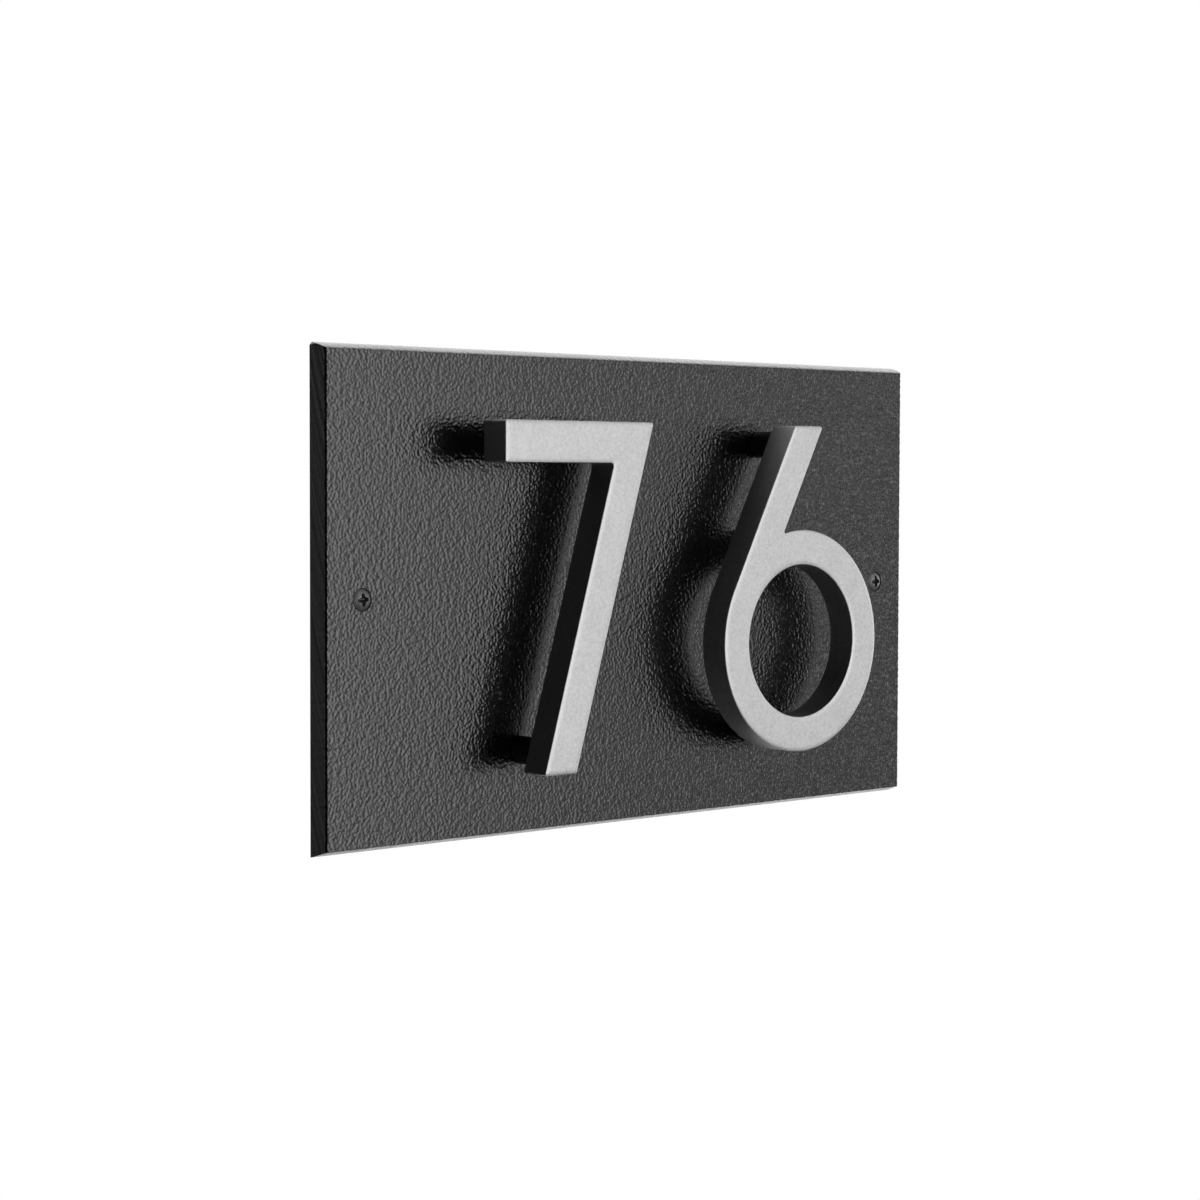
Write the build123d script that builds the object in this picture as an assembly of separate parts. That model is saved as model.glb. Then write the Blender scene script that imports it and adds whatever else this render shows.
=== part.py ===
from build123d import *
import math
import os

# House number plaque: an embossed sheet with sawn bevels, carrying two numerals that stand off its face.
# X runs along the plaque, Z is up and +Y goes into the wall.
# The origin is at the centre of the sheet's back face, which lies against the wall.
# Lengths are in millimetres, angles in degrees.

# Backing panel
panel_width = 304.8
panel_height = 177.8
panel_thickness = 7.0
bevel_setback = 2.0  # how far the front edges stand in from the back edges

# Numerals
numeral_height = 127.0
numeral_thickness = 12.0
numeral_gap = 38.4  # clear space between the two numerals
numeral_offset = 8.9  # middle of the pair, right of the panel's middle
baseline_above_edge = 24.8  # foot of the numerals above the panel's lower edge
front_edge_break = 0.6
back_edge_break = 0.3
front_corner_radius = 0.2  # of the outline's corners, within the broken front edge
inner_corner_radius = 1.2  # under the seven's bar
notch_radius = 0.6  # where the six's stem meets its bowl

# Seven: a level bar and a straight leaning stem
seven_width = 72.6
seven_bar_height = 14.9
seven_stem_width = 14.7
seven_stem_lean = 16.8

# Six: a round bowl and a straight stem that runs tangent into it
six_bowl_diameter = 86.5
six_bowl_stroke = 13.35
six_stem_width = 14.0
six_stem_lean = 28.0

# Tubular standoffs between panel and numerals
standoff_length = 12.0
standoff_diameter = 10.4
standoff_end_chamfer = 0.4
standoff_from_end = 7.0  # standoff centre in from the free end of a stem

# Machine screws that hold the numerals from behind
numeral_screw_diameter = 4.0
numeral_screw_head_diameter = 8.0
numeral_screw_head_height = 3.1
numeral_screw_head_break = 0.8
head_sunk_below_back = 0.4  # keeps the heads clear of the wall
counterbore_clearance = 0.5  # round the screw head, each side
shank_clearance = 0.25  # round the screws in panel and standoffs, each side
thread_clearance = 0.05  # round the screw in its tapped hole, each side
thread_engagement = 4.5  # screw within the numeral, which makes it 20 mm long under the head
tapped_hole_spare = 2.0  # hole beyond the screw's tip

# Oval-head wood screws that hold the panel to the wall
wall_screw_inset = 17.4  # screw axis in from the panel's side edge
wall_screw_length = 25.4  # from the head's rim to the tip
wall_screw_shank_diameter = 3.5  # plain part, under the head
wall_screw_thread_diameter = 4.17  # over the thread, which starts at the wall
wall_screw_head_diameter = 8.2
wall_screw_head_angle = 82.0
wall_screw_dome_height = 1.3
wall_screw_point_length = 4.5
countersink_clearance = 0.1  # between the head's cone and its seat
wall_screw_turns = (-6.0, -4.0)  # how far each cross recess is turned from upright

# Cross recesses
recess_wing_width = 1.15
recess_taper = 10.0
wall_recess_span = 4.8
wall_recess_depth = 2.4
numeral_recess_span = 4.2
numeral_recess_depth = 1.9

# Distances in front of the wall
panel_front = panel_thickness
numeral_back = panel_front + standoff_length

# Places of the numerals on the panel
baseline_z = baseline_above_edge - panel_height / 2
top_z = baseline_z + numeral_height
pair_width = seven_width + numeral_gap + six_bowl_diameter
seven_left = numeral_offset - pair_width / 2
six_bowl_radius = six_bowl_diameter / 2
six_hole_radius = six_bowl_radius - six_bowl_stroke
six_bowl_x = seven_left + pair_width - six_bowl_radius
six_bowl_z = baseline_z + six_bowl_radius
outer_corner_radius = front_corner_radius + front_edge_break

# Slopes of the stems, sideways per unit of height, and their level widths
seven_slope = math.tan(math.radians(seven_stem_lean))
seven_stem_level = seven_stem_width / math.cos(math.radians(seven_stem_lean))
six_slope = math.tan(math.radians(six_stem_lean))
six_stem_level = six_stem_width / math.cos(math.radians(six_stem_lean))
six_across = Vector(-math.cos(math.radians(six_stem_lean)), math.sin(math.radians(six_stem_lean)))
six_tangent_point = Vector(six_bowl_x, six_bowl_z) + six_across * six_bowl_radius
six_stem_top_left = six_tangent_point.X + (top_z - six_tangent_point.Y) * six_slope


def seven_stem_centre(z):
    """X of the middle of the seven's stem at height z."""
    return seven_left + seven_width - seven_stem_level / 2 - (top_z - z) * seven_slope


def six_stem_centre(z):
    """X of the middle of the six's stem at height z."""
    return six_stem_top_left + six_stem_level / 2 - (top_z - z) * six_slope


# Standoff places, as X and Z: the seven's two stand one above the other
seven_foot_x = seven_stem_centre(baseline_z + standoff_from_end)
seven_standoffs = {
    "seven_upper_standoff": (seven_foot_x, top_z - seven_bar_height / 2),
    "seven_lower_standoff": (seven_foot_x, baseline_z + standoff_from_end),
}
six_standoffs = {
    "six_upper_standoff": (six_stem_centre(top_z - standoff_from_end), top_z - standoff_from_end),
    "six_lower_standoff": (six_bowl_x, baseline_z + six_bowl_stroke / 2),
}
all_standoffs = {**seven_standoffs, **six_standoffs}

# Screws: seats of their heads and places of the wall screws
head_seat = numeral_screw_head_height + head_sunk_below_back
screw_tip = numeral_back + thread_engagement
shank_hole_radius = numeral_screw_diameter / 2 + shank_clearance
tapped_hole_radius = numeral_screw_diameter / 2 + thread_clearance
tapped_hole_depth = thread_engagement + tapped_hole_spare
wall_screw_x = panel_width / 2 - wall_screw_inset
wall_screw_places = (-wall_screw_x, wall_screw_x)
wall_cone_tangent = math.tan(math.radians(wall_screw_head_angle / 2))


def facing(x, z, out):
    """Plane that faces the viewer at x and z, a distance out from the wall."""
    return Plane.XZ.offset(out) * Pos(x, z)


def round_bar(x, z, radius, start, end):
    """Round bar along the plaque's depth, between two distances out from the wall."""
    return extrude(facing(x, z, start) * Circle(radius), end - start)


def turned(profile):
    """Solid turned about the Y axis from a half profile of edges in the XY plane."""
    return revolve(make_face(profile), Axis.Y)


def cross_recess(span, depth, wing_width):
    """Tapered cross driven along +Y from the XZ plane."""
    driven = Plane(origin=(0, 0, 0), x_dir=(1, 0, 0), z_dir=(0, 1, 0))
    cross = Rectangle(span, wing_width) + Rectangle(wing_width, span)
    return extrude(driven * cross, depth, taper=recess_taper)


def make_panel():
    """Sheet with four bevelled edges, two countersunk wall holes and four counterbored numeral holes."""
    bevel_angle = math.degrees(math.atan2(bevel_setback, panel_thickness))
    panel = extrude(facing(0, 0, 0) * Rectangle(panel_width, panel_height), panel_thickness, taper=bevel_angle)
    counterbore_radius = numeral_screw_head_diameter / 2 + counterbore_clearance
    for x, z in all_standoffs.values():
        panel -= round_bar(x, z, shank_hole_radius, 0, panel_front)
        panel -= round_bar(x, z, counterbore_radius, 0, head_seat)
    wall_hole_radius = wall_screw_thread_diameter / 2 + shank_clearance
    mouth_radius = wall_screw_head_diameter / 2 + countersink_clearance
    sink_depth = (mouth_radius - wall_hole_radius) / wall_cone_tangent
    sink_profile = Polyline(
        (0, -panel_front),
        (mouth_radius, -panel_front),
        (wall_hole_radius, sink_depth - panel_front),
        (wall_hole_radius, 0),
        (0, 0),
        close=True,
    )
    for x in wall_screw_places:
        panel -= Pos(x, 0, 0) * turned(sink_profile)
    return panel


def seven_outline():
    """Flat outline of the seven in X and Z."""
    right = seven_left + seven_width
    bar_foot = top_z - seven_bar_height
    foot_right = right - numeral_height * seven_slope
    inner_x = right - seven_stem_level - seven_bar_height * seven_slope
    outline = make_face(
        Polyline(
            (seven_left, top_z),
            (right, top_z),
            (foot_right, baseline_z),
            (foot_right - seven_stem_level, baseline_z),
            (inner_x, bar_foot),
            (seven_left, bar_foot),
            close=True,
        )
    )
    inner_corner = outline.vertices().sort_by_distance((inner_x, bar_foot, 0))[0]
    outline = fillet(inner_corner, inner_corner_radius)
    square_corners = [(seven_left, top_z), (right, top_z), (foot_right, baseline_z)]
    square_corners += [(foot_right - seven_stem_level, baseline_z), (seven_left, bar_foot)]
    picked = [outline.vertices().sort_by_distance((x, z, 0))[0] for x, z in square_corners]
    return fillet(picked, outer_corner_radius)


def six_outline():
    """Flat outline of the six in X and Z: round bowl, round hole and a stem tangent to the bowl."""
    bowl_centre = Vector(six_bowl_x, six_bowl_z)
    stem_root = bowl_centre + six_across * (six_bowl_radius - six_stem_width)
    top_right = six_stem_top_left + six_stem_level
    stem = make_face(
        Polyline(
            (six_tangent_point.X, six_tangent_point.Y),
            (six_stem_top_left, top_z),
            (top_right, top_z),
            (stem_root.X, stem_root.Y),
            close=True,
        )
    )
    bowl = Pos(six_bowl_x, six_bowl_z) * Circle(six_bowl_radius)
    hole = Pos(six_bowl_x, six_bowl_z) * Circle(six_hole_radius)
    outline = (bowl + stem - hole).face()
    notch_reach = math.sqrt(six_bowl_radius**2 - (six_bowl_radius - six_stem_width) ** 2)
    along = Vector(six_across.Y, -six_across.X)
    notch = stem_root + along * notch_reach
    inner_corner = outline.vertices().sort_by_distance((notch.X, notch.Y, 0))[0]
    outline = fillet(inner_corner, notch_radius)
    top_corners = [(six_stem_top_left, top_z), (top_right, top_z)]
    picked = [outline.vertices().sort_by_distance((x, z, 0))[0] for x, z in top_corners]
    return fillet(picked, outer_corner_radius)


def make_numeral(outline, standoffs):
    """Thick numeral with broken edges and a tapped blind hole behind each standoff."""
    numeral = extrude(facing(0, 0, numeral_back) * outline, numeral_thickness)
    front_face = numeral.faces().sort_by(Axis.Y)[0]
    numeral = chamfer(front_face.edges(), front_edge_break)
    back_face = numeral.faces().sort_by(Axis.Y)[-1]
    numeral = chamfer(back_face.edges(), back_edge_break)
    for x, z in standoffs.values():
        numeral -= round_bar(x, z, tapped_hole_radius, numeral_back, numeral_back + tapped_hole_depth)
    return numeral


def make_standoff(x, z):
    """Plain tube with broken outer edges."""
    tube = round_bar(x, z, standoff_diameter / 2, panel_front, numeral_back)
    tube = chamfer(tube.edges().filter_by(GeomType.CIRCLE), standoff_end_chamfer)
    return tube - round_bar(x, z, shank_hole_radius, panel_front, numeral_back)


def make_numeral_screw(x, z):
    """Pan-head machine screw driven from behind, head sunk in its counterbore."""
    head_radius = numeral_screw_head_diameter / 2
    shank_radius = numeral_screw_diameter / 2
    head_top = -head_sunk_below_back
    profile = Polyline(
        (0, head_top),
        (head_radius - numeral_screw_head_break, head_top),
        (head_radius, head_top - numeral_screw_head_break),
        (head_radius, -head_seat),
        (shank_radius, -head_seat),
        (shank_radius, -screw_tip),
        (0, -screw_tip),
        close=True,
    )
    recess = Pos(0, head_top, 0) * Rot(180, 0, 0) * cross_recess(
        numeral_recess_span, numeral_recess_depth, recess_wing_width
    )
    return Pos(x, 0, z) * (turned(profile) - recess)


def make_wall_screw(x, turn):
    """Oval-head wood screw: plain shank within the panel, then a threaded length and a conical point."""
    head_radius = wall_screw_head_diameter / 2
    shank_radius = wall_screw_shank_diameter / 2
    thread_radius = wall_screw_thread_diameter / 2
    rim = -panel_front
    dome_top = rim - wall_screw_dome_height
    cone_foot = rim + (head_radius - shank_radius) / wall_cone_tangent
    tip = rim + wall_screw_length
    profile = [
        TangentArc((0, dome_top), (head_radius, rim), tangent=(1, 0)),
        Polyline(
            (head_radius, rim),
            (shank_radius, cone_foot),
            (shank_radius, 0),
            (thread_radius, 0),
            (thread_radius, tip - wall_screw_point_length),
            (0, tip),
            (0, dome_top),
        ),
    ]
    recess = Pos(0, dome_top, 0) * Rot(0, turn, 0) * cross_recess(
        wall_recess_span, wall_recess_depth, recess_wing_width
    )
    return Pos(x, 0, 0) * (turned(profile) - recess)


os.makedirs("parts", exist_ok=True)

export_step(make_panel(), "parts/backing_panel.step")
export_step(make_numeral(seven_outline(), seven_standoffs), "parts/numeral_seven.step")
export_step(make_numeral(six_outline(), six_standoffs), "parts/numeral_six.step")
for name, (x, z) in all_standoffs.items():
    export_step(make_standoff(x, z), f"parts/{name}.step")
numeral_screws = [make_numeral_screw(x, z) for x, z in all_standoffs.values()]
export_step(Compound(children=numeral_screws), "parts/numeral_screws.step")
wall_screws = [make_wall_screw(x, turn) for x, turn in zip(wall_screw_places, wall_screw_turns)]
export_step(Compound(children=wall_screws), "parts/wall_screws.step")
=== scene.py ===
"""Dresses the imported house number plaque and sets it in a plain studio.

The plaque is an embossed black sheet with sawn, bevelled edges. Two satin numerals, a seven and a
six, stand off its face on black tubes. Machine screws from behind hold the numerals, and two
oval-head screws hold the sheet to the wall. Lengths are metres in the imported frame: X runs to the
right along the plaque, Y goes into the wall, Z is up, and the origin is the middle of the sheet's
back face.
"""

import logging
import math
from dataclasses import dataclass, field
from enum import Enum, IntEnum

import bmesh
import bpy
import numpy as np
from mathutils import Matrix, Vector
from mathutils.geometry import tessellate_polygon


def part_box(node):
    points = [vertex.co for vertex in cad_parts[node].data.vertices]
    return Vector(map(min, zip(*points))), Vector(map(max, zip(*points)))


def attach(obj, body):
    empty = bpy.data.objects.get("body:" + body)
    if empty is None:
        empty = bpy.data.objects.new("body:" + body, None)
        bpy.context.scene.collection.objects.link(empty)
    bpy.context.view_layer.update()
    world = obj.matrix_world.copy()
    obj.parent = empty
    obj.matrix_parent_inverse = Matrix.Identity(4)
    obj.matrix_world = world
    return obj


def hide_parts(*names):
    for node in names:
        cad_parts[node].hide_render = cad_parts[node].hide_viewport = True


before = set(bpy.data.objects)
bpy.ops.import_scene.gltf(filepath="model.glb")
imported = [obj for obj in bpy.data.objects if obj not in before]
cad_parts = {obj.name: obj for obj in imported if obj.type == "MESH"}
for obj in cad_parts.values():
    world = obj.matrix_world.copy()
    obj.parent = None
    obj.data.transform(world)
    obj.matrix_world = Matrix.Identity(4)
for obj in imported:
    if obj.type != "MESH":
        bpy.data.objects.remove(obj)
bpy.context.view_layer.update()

MM = 0.001
BODY = "root"
LOG = logging.getLogger("plaque")
FULL_TURN = 2.0 * math.pi
QUARTER_TURN = math.pi / 2.0
WHITE = (1.0, 1.0, 1.0, 1.0)

# Range that most of a noise texture's heights lie in
NOISE_RANGE = (0.3, 0.7)

# Numbers of the mix node's colour sockets, which share their names with others
MIX_SHARE, MIX_FIRST, MIX_SECOND, MIX_RESULT = 0, 6, 7, 2

# Angle in degrees from which an edge of a cutter is sharp
TOOL_SHARP_ANGLE = 30.0

# Slack when a point is tested for lying on the rim of the sheet's face
RIM_SLACK = 1e-7

Colour = tuple[float, float, float]
Triple = tuple[float, float, float]
Span = tuple[float, float]
Socket = bpy.types.NodeSocket


class Slot(Enum):
    """Material slots of the record, one of which each piece holds."""

    PANEL = "panel_sheet"
    NUMERAL = "numeral_metal"
    STANDOFF = "standoff_black"
    STEEL = "screw_steel"
    BLACKED = "screw_black"


class Run(Enum):
    """The axis that a sawn edge of the sheet runs along."""

    LEVEL = "X"
    UPRIGHT = "Z"


class SheetSide(IntEnum):
    """Sides of the sheet, in the order of its finishes."""

    FACE = 0
    UPRIGHT_EDGE = 1
    LEVEL_EDGE = 2
    BACK = 3


class NodeSheet:
    """A node tree while its nodes are being laid out."""

    def __init__(self, tree: bpy.types.NodeTree) -> None:
        """Takes over the tree of a material or of the world and empties it."""
        self.tree = tree
        tree.nodes.clear()

    def add(self, kind: str, inputs: dict | None = None, **options: str) -> bpy.types.Node:
        """Adds one node.

        Args:
            kind: Type name of the node.
            inputs: Values or sockets to join, by input name or number.
            **options: The node's own settings.

        Returns:
            The new node.
        """
        node = self.tree.nodes.new(kind)
        for option, choice in options.items():
            setattr(node, option, choice)
        for socket, value in (inputs or {}).items():
            if isinstance(value, Socket):
                self.join(value, node.inputs[socket])
            else:
                node.inputs[socket].default_value = value
        return node

    def join(self, source: Socket, target: Socket) -> None:
        """Joins an output to an input."""
        self.tree.links.new(source, target)

    def math(self, operation: str, *values: float | Socket) -> Socket:
        """Gives the result of one sum on its values or sockets."""
        return self.add("ShaderNodeMath", dict(enumerate(values)), operation=operation).outputs[0]

    def axes(self, vector: Socket) -> bpy.types.NodeOutputs:
        """Gives the three parts of a vector."""
        return self.add("ShaderNodeSeparateXYZ", {"Vector": vector}).outputs

    def noise(self, place: Socket, pitch: float, detail: float, **more: float) -> Socket:
        """Gives the height of noise with lumps about one pitch across."""
        inputs = {"Vector": place, "Scale": 1.0 / pitch, "Detail": detail, **more}
        return self.add("ShaderNodeTexNoise", inputs).outputs["Fac"]

    def spread(self, value: Socket, source: Span, target: Span, smooth: bool = False) -> Socket:
        """Maps a value from one range to another.

        Args:
            value: Socket with the value.
            source: Range that the value comes in.
            target: Range that it goes out in.
            smooth: Whether the ends are eased.

        Returns:
            Socket with the mapped value.
        """
        limits = dict(zip(("From Min", "From Max", "To Min", "To Max"), (*source, *target)))
        kind = "SMOOTHSTEP" if smooth else "LINEAR"
        node = self.add("ShaderNodeMapRange", {"Value": value, **limits}, interpolation_type=kind)
        return node.outputs["Result"]

    def bump(self, height: Socket, distance: float) -> Socket:
        """Gives the normal of a surface raised by a height times a distance."""
        inputs = {"Strength": 1.0, "Distance": distance, "Height": height}
        return self.add("ShaderNodeBump", inputs).outputs["Normal"]

    def blend(self, share: Socket, first: Colour, second: Colour) -> Socket:
        """Gives a colour between two, by the share of the second."""
        inputs = {MIX_FIRST: (*first, 1.0), MIX_SECOND: (*second, 1.0), MIX_SHARE: share}
        return self.add("ShaderNodeMix", inputs, data_type="RGBA").outputs[MIX_RESULT]

    def scaled(self, colour: Socket | Colour, factor: Socket) -> Socket:
        """Gives a colour times a factor."""
        inputs = {"Vector": colour, "Scale": factor}
        return self.add("ShaderNodeVectorMath", inputs, operation="SCALE").outputs["Vector"]


@dataclass(frozen=True)
class Finish:
    """What all the plaque's finishes share: a base shader that each one textures in its own way."""

    name: str
    colour: Colour
    roughness: float
    metallic: float = 0.0
    ior: float = 1.5

    def material(self) -> bpy.types.Material:
        """Gives the finish's material, made the first time it is asked for.

        Returns:
            The material.
        """
        made = bpy.data.materials.get(self.name)
        if made:
            return made
        made = bpy.data.materials.new(self.name)
        made.use_nodes = True
        sheet = NodeSheet(made.node_tree)
        shader = sheet.add("ShaderNodeBsdfPrincipled", {
            "Base Color": (*self.colour, 1.0),
            "Roughness": self.roughness,
            "Metallic": self.metallic,
            "IOR": self.ior,
        })
        place = sheet.add("ShaderNodeTexCoord").outputs["Object"]
        self.texture(sheet, shader, place)
        sheet.add("ShaderNodeOutputMaterial", {"Surface": shader.outputs["BSDF"]})
        return made

    def texture(self, sheet: NodeSheet, shader: bpy.types.Node, place: Socket) -> None:
        """Lays the finish's own grain over the base shader.

        Args:
            sheet: Node tree of the material.
            shader: Base shader.
            place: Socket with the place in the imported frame.
        """
        raise NotImplementedError


@dataclass(frozen=True)
class EmbossedSkin(Finish):
    """Black plastic skin rolled with a fine pebble."""

    name: str = "embossed_black_skin"
    colour: Colour = (0.002, 0.002, 0.002)
    roughness: float = 0.16
    ior: float = 1.59
    pebble_pitch: float = 1.1 * MM
    pebble_height: float = 0.175 * MM
    pebble_detail: float = 0.2
    speck_pitch: float = 0.28 * MM
    speck_height: float = 0.032 * MM
    speck_detail: float = 0.0
    lip_height: float = 86.2 * MM
    lip_width: float = 0.4 * MM
    lip_gloss: Span = (0.5, 0.34)

    def texture(self, sheet: NodeSheet, shader: bpy.types.Node, place: Socket) -> None:
        """Raises pebbles and, finer, the specks between them, and dulls the lips beside the saw cuts.

        Args:
            sheet: Node tree of the material.
            shader: Base shader.
            place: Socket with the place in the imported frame.
        """
        pebbles = sheet.noise(place, self.pebble_pitch, self.pebble_detail)
        specks = sheet.noise(place, self.speck_pitch, self.speck_detail)
        height = sheet.math("MULTIPLY_ADD", specks, self.speck_height / self.pebble_height, pebbles)
        sheet.join(sheet.bump(height, self.pebble_height), shader.inputs["Normal"])
        from_middle = sheet.math("ABSOLUTE", sheet.axes(place)["Z"])
        ragged = sheet.math("MULTIPLY_ADD", pebbles, self.lip_width, from_middle)
        start = self.lip_height + 0.5 * self.lip_width
        gloss = sheet.spread(ragged, (start, start + self.lip_width), self.lip_gloss)
        sheet.join(gloss, shader.inputs["Specular IOR Level"])


@dataclass(frozen=True)
class SawnEdge(Finish):
    """Sheet edge as the saw leaves it: arcs of the blade, and a painted shade line, darker and less glossy,
    along the front.
    """

    colour: Colour = (0.05, 0.05, 0.05)
    roughness: float = 0.36
    run: Run = Run.UPRIGHT
    blade_slope: float = 5.0
    blade_bend: float = 120.0
    mark_pitch: float = 6.0 * MM
    mark_depth: float = 0.2 * MM
    mark_detail: float = 4.0
    mark_roughness: float = 0.65
    mark_tones: Span = (0.3, 1.7)
    front: float = -7.0 * MM
    # Painted shade: width, raggedness, colour and gloss of a dark line along the front of the edge, where
    # the bevel meets the face
    shade_line_width: float = 1.0 * MM
    shade_line_fade: Span = (0.3, 0.7)
    shade_line_pitch: float = 1.0 / 700.0
    shade_line_detail: float = 2.0
    painted_shade_colour: Colour = (0.001, 0.001, 0.001)
    shade_line_gloss: Span = (0.08, 0.5)

    def texture(self, sheet: NodeSheet, shader: bpy.types.Node, place: Socket) -> None:
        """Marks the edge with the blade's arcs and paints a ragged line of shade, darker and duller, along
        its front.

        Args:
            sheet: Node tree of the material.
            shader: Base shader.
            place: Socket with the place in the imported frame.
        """
        axes = sheet.axes(place)
        slope = sheet.math("MULTIPLY_ADD", axes["Y"], self.blade_bend, self.blade_slope)
        stroke = sheet.math("SUBTRACT", axes[self.run.value], sheet.math("MULTIPLY", axes["Y"], slope))
        marks = sheet.add("ShaderNodeTexNoise", {
            "W": stroke,
            "Scale": 1.0 / self.mark_pitch,
            "Detail": self.mark_detail,
            "Roughness": self.mark_roughness,
        }, noise_dimensions="1D").outputs["Fac"]
        # Painted shade: a ragged strip near the front turns near black and dull, standing in for the shade
        # where the bevel meets the face
        ragged = sheet.noise(place, self.shade_line_pitch, self.shade_line_detail)
        line = sheet.math("MULTIPLY_ADD", ragged, self.shade_line_width, axes["Y"])
        edge = self.front + self.shade_line_width
        first, last = (edge + share * self.shade_line_width for share in self.shade_line_fade)
        unshaded_share = sheet.spread(line, (first, last), (0.0, 1.0))
        shaded_colour = sheet.blend(unshaded_share, self.painted_shade_colour, self.colour)
        tone = sheet.spread(marks, NOISE_RANGE, self.mark_tones)
        sheet.join(sheet.scaled(shaded_colour, tone), shader.inputs["Base Color"])
        gloss = sheet.spread(unshaded_share, (0.0, 1.0), self.shade_line_gloss)
        sheet.join(gloss, shader.inputs["Specular IOR Level"])
        sheet.join(sheet.bump(marks, self.mark_depth), shader.inputs["Normal"])


@dataclass(frozen=True)
class PlainBack(Finish):
    """Smooth rolled back of the sheet and the walls of its drilled holes."""

    name: str = "plain_black_back"
    colour: Colour = (0.012, 0.012, 0.012)
    roughness: float = 0.42
    grain_pitch: float = 0.7 * MM
    grain_height: float = 0.01 * MM
    grain_detail: float = 2.0
    scuff_pitch: float = 24.0 * MM
    scuff_detail: float = 5.0
    scuff_swirl: float = 0.6
    scuff_roughness: Span = (0.36, 0.52)

    def texture(self, sheet: NodeSheet, shader: bpy.types.Node, place: Socket) -> None:
        """Gives the back a fine grain and slow changes of gloss.

        Args:
            sheet: Node tree of the material.
            shader: Base shader.
            place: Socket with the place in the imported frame.
        """
        grain = sheet.noise(place, self.grain_pitch, self.grain_detail)
        scuffs = sheet.noise(place, self.scuff_pitch, self.scuff_detail, Distortion=self.scuff_swirl)
        sheet.join(sheet.spread(scuffs, NOISE_RANGE, self.scuff_roughness), shader.inputs["Roughness"])
        sheet.join(sheet.bump(grain, self.grain_height), shader.inputs["Normal"])


@dataclass(frozen=True)
class GrainedFinish(Finish):
    """Finish with a fine even grain that lifts the surface and varies its gloss."""

    grain_pitch: float = 0.5 * MM
    grain_height: float = 0.01 * MM
    grain_detail: float = 3.0
    grain_roughness: Span = (0.3, 0.5)

    def lay_grain(self, sheet: NodeSheet, shader: bpy.types.Node, place: Socket) -> Socket:
        """Joins the grain to the base shader.

        Args:
            sheet: Node tree of the material.
            shader: Base shader.
            place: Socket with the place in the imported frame.

        Returns:
            Socket with the grain's height.
        """
        grain = sheet.noise(place, self.grain_pitch, self.grain_detail)
        sheet.join(sheet.spread(grain, NOISE_RANGE, self.grain_roughness), shader.inputs["Roughness"])
        sheet.join(sheet.bump(grain, self.grain_height), shader.inputs["Normal"])
        return grain

    def texture(self, sheet: NodeSheet, shader: bpy.types.Node, place: Socket) -> None:
        """Gives the finish its grain alone."""
        self.lay_grain(sheet, shader, place)


@dataclass(frozen=True)
class SatinSilver(GrainedFinish):
    """Bead-blasted silver metal of the numerals."""

    name: str = "satin_silver"
    colour: Colour = (0.435, 0.435, 0.435)
    roughness: float = 0.46
    metallic: float = 1.0
    grain_pitch: float = 0.9 * MM
    grain_height: float = 0.02 * MM
    grain_detail: float = 2.0
    grain_roughness: Span = (0.43, 0.49)
    grain_tones: Span = (0.88, 1.12)
    cloud_pitch: float = 9.0 * MM
    cloud_detail: float = 3.0
    cloud_tones: Span = (0.97, 1.03)

    def texture(self, sheet: NodeSheet, shader: bpy.types.Node, place: Socket) -> None:
        """Gives the metal its blasted grain and faint clouds of tone.

        Args:
            sheet: Node tree of the material.
            shader: Base shader.
            place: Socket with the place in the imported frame.
        """
        grain = self.lay_grain(sheet, shader, place)
        clouds = sheet.noise(place, self.cloud_pitch, self.cloud_detail)
        tone = sheet.math("MULTIPLY", sheet.spread(clouds, NOISE_RANGE, self.cloud_tones),
                          sheet.spread(grain, NOISE_RANGE, self.grain_tones))
        sheet.join(sheet.scaled(self.colour, tone), shader.inputs["Base Color"])


@dataclass(frozen=True)
class MouldedBlack(GrainedFinish):
    """Black plastic of the standoff tubes, with a faint moulded grain."""

    name: str = "moulded_black"
    colour: Colour = (0.006, 0.006, 0.006)
    roughness: float = 0.38
    grain_height: float = 0.008 * MM
    grain_roughness: Span = (0.33, 0.45)


@dataclass(frozen=True)
class BlackedSteel(GrainedFinish):
    """Black coat of the wall screws, with a slight orange peel."""

    name: str = "blacked_steel"
    colour: Colour = (0.03, 0.03, 0.03)
    roughness: float = 0.48
    ior: float = 2.1
    grain_height: float = 0.006 * MM
    grain_detail: float = 2.0
    grain_roughness: Span = (0.44, 0.52)


@dataclass(frozen=True)
class ZincedSteel(GrainedFinish):
    """Dull zinc plate of the machine screws, with a fine spangle."""

    name: str = "zinced_steel"
    colour: Colour = (0.46, 0.47, 0.48)
    roughness: float = 0.34
    metallic: float = 1.0
    grain_pitch: float = 0.4 * MM
    grain_height: float = 0.005 * MM
    grain_roughness: Span = (0.27, 0.42)


def round_angles(segments: int) -> np.ndarray:
    """Gives even angles round one turn."""
    return np.linspace(0.0, FULL_TURN, segments, endpoint=False)


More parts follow.
